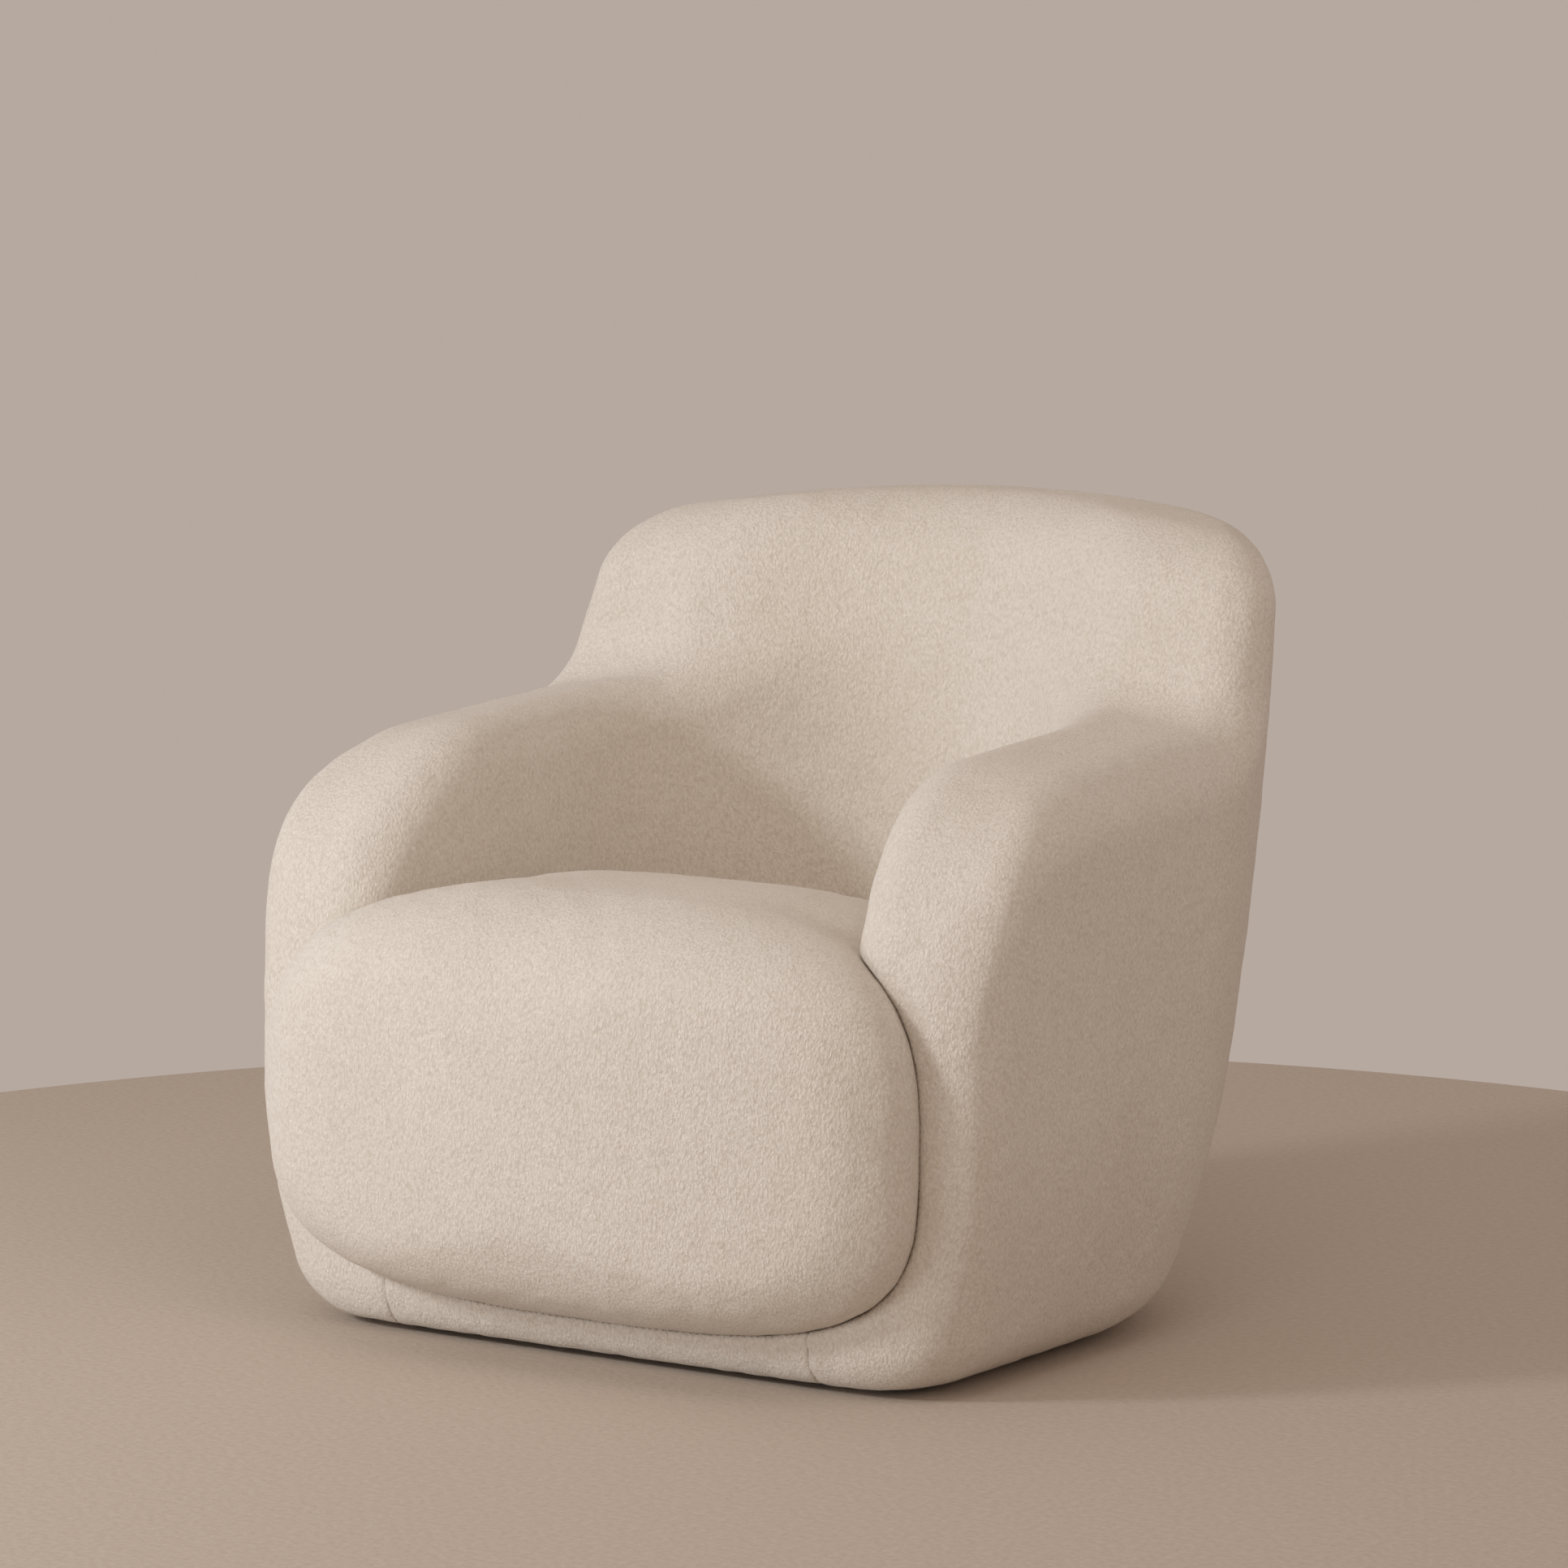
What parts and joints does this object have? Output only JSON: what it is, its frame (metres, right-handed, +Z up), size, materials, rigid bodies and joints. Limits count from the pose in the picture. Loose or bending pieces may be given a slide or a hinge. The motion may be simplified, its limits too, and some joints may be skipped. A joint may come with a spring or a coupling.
{
  "type": "upholstered tub armchair",
  "caption": "Low rounded lounge armchair: a wide padded shell sweeps from back to arms round a full, bulging seat pod on a slim plinth, all covered in looped boucle.",
  "frame": {"origin": "on the floor under the middle of the chair's box", "axes": "+Z up, -Y towards the front where the sitter's feet go, +X to the sitter's left"},
  "size_m": [0.8462, 0.8584, 0.7674],
  "materials": {
    "boucle": "looped wool boucle",
    "foam": "open-cell foam",
    "plywood": "raw birch plywood",
    "timber": "planed softwood",
    "steel": "zinc plated",
    "spring_steel": "oiled spring wire",
    "webbing": "elastic webbing",
    "dust_cloth": "non-woven cloth",
    "glide_plastic": "moulded"
  },
  "bodies": {
    "root": {"shell_cover": "boucle", "shell_foam": "foam", "seat_pod_cover": "boucle", "seat_foam": "foam", "front_foam": "foam", "plinth_band": "boucle", "base_board": "plywood", "dust_cover": "dust_cloth", "glide_1": "glide_plastic", "glide_screw_1": "steel", "glide_2": "glide_plastic", "glide_screw_2": "steel", "glide_3": "glide_plastic", "glide_screw_3": "steel", "glide_4": "glide_plastic", "glide_screw_4": "steel", "front_board": "plywood", "rear_rail": "timber", "centre_stretcher": "timber", "side_rail_left": "timber", "corner_block_front_left": "timber", "corner_block_rear_left": "timber", "side_rail_right": "timber", "corner_block_front_right": "timber", "corner_block_rear_right": "timber", "arm_panel_left": "plywood", "arm_post_left": "timber", "arm_rail_left": "timber", "arm_panel_right": "plywood", "arm_post_right": "timber", "arm_rail_right": "timber", "back_rib_1": "plywood", "back_rib_2": "plywood", "back_rib_3": "plywood", "back_rib_4": "plywood", "back_top_rail": "timber", "seat_spring_1": "spring_steel", "spring_clip_front_1": "steel", "spring_clip_rear_1": "steel", "seat_spring_2": "spring_steel", "spring_clip_front_2": "steel", "spring_clip_rear_2": "steel", "seat_spring_3": "spring_steel", "spring_clip_front_3": "steel", "spring_clip_rear_3": "steel", "seat_spring_4": "spring_steel", "spring_clip_front_4": "steel", "spring_clip_rear_4": "steel", "seat_spring_5": "spring_steel", "spring_clip_front_5": "steel", "spring_clip_rear_5": "steel", "back_strap_1": "webbing", "back_strap_2": "webbing", "back_strap_3": "webbing", "back_strap_4": "webbing"}
  },
  "joints": []
}
